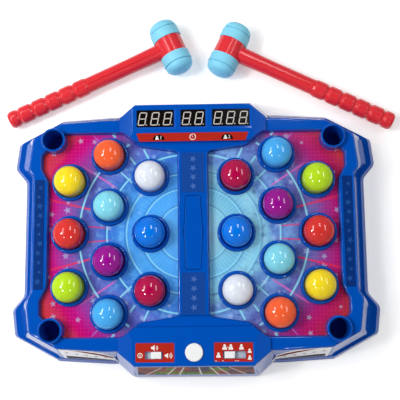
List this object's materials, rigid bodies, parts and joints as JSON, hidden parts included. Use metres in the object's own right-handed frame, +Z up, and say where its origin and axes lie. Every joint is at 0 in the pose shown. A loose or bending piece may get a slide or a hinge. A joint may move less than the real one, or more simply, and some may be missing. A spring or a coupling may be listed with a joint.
{
  "type": "mole pounding game",
  "caption": "Two-player tabletop mole pounding game: blue case, light-up mole domes on two printed fields, score displays, start button, slide switches and soft-headed mallets.",
  "frame": {"origin": "middle of the game board at table level, on the underside of the middle foot", "axes": "+X to the right of the player at the front, +Y to the back (the displays and the mallets), +Z up"},
  "size_m": [0.4125, 0.3768, 0.063],
  "materials": {
    "blue_housing": "gloss",
    "cell_sleeve": "satin",
    "spring_steel": "brushed",
    "foot_rubber": "matt",
    "speaker_black": "matt",
    "field_print": "satin",
    "circuit_board": "matt",
    "white_plastic": "gloss",
    "display_face": "gloss",
    "silicone": "matt",
    "lamp_epoxy": "gloss",
    "mallet_red": "gloss",
    "cap_blue": "satin",
    "mole_blue": "gloss",
    "mole_crimson": "gloss",
    "mole_cyan": "gloss",
    "mole_lime": "gloss",
    "mole_orange": "gloss",
    "mole_purple": "gloss",
    "mole_red": "gloss",
    "mole_sky": "gloss",
    "mole_white": "gloss",
    "mole_yellow": "gloss"
  },
  "bodies": {
    "board": {"top_shell": "blue_housing", "bottom_cover": "blue_housing", "battery_door": "blue_housing", "centre_cover": "blue_housing", "battery_cells": "cell_sleeve", "battery_contacts": "spring_steel", "case_screws": "spring_steel", "rubber_feet": "foot_rubber", "speaker": "speaker_black", "right_field_sheet": "field_print", "left_field_sheet": "field_print", "right_mole_board": "circuit_board", "left_mole_board": "circuit_board", "display_board": "circuit_board", "control_board": "circuit_board", "start_switch": "speaker_black", "power_switch": "spring_steel", "mode_switch": "spring_steel", "player_1_display": "display_face", "timer_display": "display_face", "player_2_display": "display_face", "left_return_pads": "silicone", "right_return_pads": "silicone", "mole_lamps": "lamp_epoxy"},
    "mole_right_outer_back": {"mole_right_outer_back": "mole_lime"},
    "mole_right_outer_centre": {"mole_right_outer_centre": "mole_red"},
    "mole_right_outer_front": {"mole_right_outer_front": "mole_yellow"},
    "mole_right_middle_back": {"mole_right_middle_back": "mole_sky"},
    "mole_right_middle_upper": {"mole_right_middle_upper": "mole_purple"},
    "mole_right_middle_lower": {"mole_right_middle_lower": "mole_cyan"},
    "mole_right_middle_front": {"mole_right_middle_front": "mole_orange"},
    "mole_right_inner_back": {"mole_right_inner_back": "mole_crimson"},
    "mole_right_inner_centre": {"mole_right_inner_centre": "mole_blue"},
    "mole_right_inner_front": {"mole_right_inner_front": "mole_white"},
    "mole_left_outer_back": {"mole_left_outer_back": "mole_yellow"},
    "mole_left_outer_centre": {"mole_left_outer_centre": "mole_red"},
    "mole_left_outer_front": {"mole_left_outer_front": "mole_lime"},
    "mole_left_middle_back": {"mole_left_middle_back": "mole_orange"},
    "mole_left_middle_upper": {"mole_left_middle_upper": "mole_cyan"},
    "mole_left_middle_lower": {"mole_left_middle_lower": "mole_purple"},
    "mole_left_middle_front": {"mole_left_middle_front": "mole_sky"},
    "mole_left_inner_back": {"mole_left_inner_back": "mole_white"},
    "mole_left_inner_centre": {"mole_left_inner_centre": "mole_blue"},
    "mole_left_inner_front": {"mole_left_inner_front": "mole_crimson"},
    "start_button": {"start_button": "white_plastic"},
    "power_knob": {"power_knob": "white_plastic"},
    "mode_knob": {"mode_knob": "white_plastic"},
    "left_mallet": {"left_mallet_handle": "mallet_red", "left_mallet_front_cap": "cap_blue", "left_mallet_back_cap": "cap_blue"},
    "right_mallet": {"right_mallet_handle": "mallet_red", "right_mallet_front_cap": "cap_blue", "right_mallet_back_cap": "cap_blue"}
  },
  "joints": [
    {"name": "mole_right_outer_back_press", "type": "slide", "parent": "board", "child": "mole_right_outer_back", "axis": [0, 0, -1], "range_m": [0, 0.004], "stiffness_N_per_m": 500, "deforming": ["right_return_pads"]},
    {"name": "mole_right_outer_centre_press", "type": "slide", "parent": "board", "child": "mole_right_outer_centre", "axis": [0, 0, -1], "range_m": [0, 0.004], "stiffness_N_per_m": 500, "deforming": ["right_return_pads"]},
    {"name": "mole_right_outer_front_press", "type": "slide", "parent": "board", "child": "mole_right_outer_front", "axis": [0, 0, -1], "range_m": [0, 0.004], "stiffness_N_per_m": 500, "deforming": ["right_return_pads"]},
    {"name": "mole_right_middle_back_press", "type": "slide", "parent": "board", "child": "mole_right_middle_back", "axis": [0, 0, -1], "range_m": [0, 0.004], "stiffness_N_per_m": 500, "deforming": ["right_return_pads"]},
    {"name": "mole_right_middle_upper_press", "type": "slide", "parent": "board", "child": "mole_right_middle_upper", "axis": [0, 0, -1], "range_m": [0, 0.004], "stiffness_N_per_m": 500, "deforming": ["right_return_pads"]},
    {"name": "mole_right_middle_lower_press", "type": "slide", "parent": "board", "child": "mole_right_middle_lower", "axis": [0, 0, -1], "range_m": [0, 0.004], "stiffness_N_per_m": 500, "deforming": ["right_return_pads"]},
    {"name": "mole_right_middle_front_press", "type": "slide", "parent": "board", "child": "mole_right_middle_front", "axis": [0, 0, -1], "range_m": [0, 0.004], "stiffness_N_per_m": 500, "deforming": ["right_return_pads"]},
    {"name": "mole_right_inner_back_press", "type": "slide", "parent": "board", "child": "mole_right_inner_back", "axis": [0, 0, -1], "range_m": [0, 0.004], "stiffness_N_per_m": 500, "deforming": ["right_return_pads"]},
    {"name": "mole_right_inner_centre_press", "type": "slide", "parent": "board", "child": "mole_right_inner_centre", "axis": [0, 0, -1], "range_m": [0, 0.004], "stiffness_N_per_m": 500, "deforming": ["right_return_pads"]},
    {"name": "mole_right_inner_front_press", "type": "slide", "parent": "board", "child": "mole_right_inner_front", "axis": [0, 0, -1], "range_m": [0, 0.004], "stiffness_N_per_m": 500, "deforming": ["right_return_pads"]},
    {"name": "mole_left_outer_back_press", "type": "slide", "parent": "board", "child": "mole_left_outer_back", "axis": [0, 0, -1], "range_m": [0, 0.004], "stiffness_N_per_m": 500, "deforming": ["left_return_pads"]},
    {"name": "mole_left_outer_centre_press", "type": "slide", "parent": "board", "child": "mole_left_outer_centre", "axis": [0, 0, -1], "range_m": [0, 0.004], "stiffness_N_per_m": 500, "deforming": ["left_return_pads"]},
    {"name": "mole_left_outer_front_press", "type": "slide", "parent": "board", "child": "mole_left_outer_front", "axis": [0, 0, -1], "range_m": [0, 0.004], "stiffness_N_per_m": 500, "deforming": ["left_return_pads"]},
    {"name": "mole_left_middle_back_press", "type": "slide", "parent": "board", "child": "mole_left_middle_back", "axis": [0, 0, -1], "range_m": [0, 0.004], "stiffness_N_per_m": 500, "deforming": ["left_return_pads"]},
    {"name": "mole_left_middle_upper_press", "type": "slide", "parent": "board", "child": "mole_left_middle_upper", "axis": [0, 0, -1], "range_m": [0, 0.004], "stiffness_N_per_m": 500, "deforming": ["left_return_pads"]},
    {"name": "mole_left_middle_lower_press", "type": "slide", "parent": "board", "child": "mole_left_middle_lower", "axis": [0, 0, -1], "range_m": [0, 0.004], "stiffness_N_per_m": 500, "deforming": ["left_return_pads"]},
    {"name": "mole_left_middle_front_press", "type": "slide", "parent": "board", "child": "mole_left_middle_front", "axis": [0, 0, -1], "range_m": [0, 0.004], "stiffness_N_per_m": 500, "deforming": ["left_return_pads"]},
    {"name": "mole_left_inner_back_press", "type": "slide", "parent": "board", "child": "mole_left_inner_back", "axis": [0, 0, -1], "range_m": [0, 0.004], "stiffness_N_per_m": 500, "deforming": ["left_return_pads"]},
    {"name": "mole_left_inner_centre_press", "type": "slide", "parent": "board", "child": "mole_left_inner_centre", "axis": [0, 0, -1], "range_m": [0, 0.004], "stiffness_N_per_m": 500, "deforming": ["left_return_pads"]},
    {"name": "mole_left_inner_front_press", "type": "slide", "parent": "board", "child": "mole_left_inner_front", "axis": [0, 0, -1], "range_m": [0, 0.004], "stiffness_N_per_m": 500, "deforming": ["left_return_pads"]},
    {"name": "start_button_press", "type": "slide", "parent": "board", "child": "start_button", "axis": [0, 0, -1], "range_m": [0, 0.0016], "stiffness_N_per_m": 500},
    {"name": "power_knob_slide", "type": "slide", "parent": "board", "child": "power_knob", "axis": [-1, 0, 0], "range_m": [0, 0.0044]},
    {"name": "mode_knob_slide", "type": "slide", "parent": "board", "child": "mode_knob", "axis": [1, 0, 0], "range_m": [0, 0.0092]},
    {"name": "left_mallet_lift", "type": "slide", "parent": "board", "child": "left_mallet", "axis": [0, 0, 1], "range_m": [0, 0.25]},
    {"name": "right_mallet_lift", "type": "slide", "parent": "board", "child": "right_mallet", "axis": [0, 0, 1], "range_m": [0, 0.25]}
  ]
}
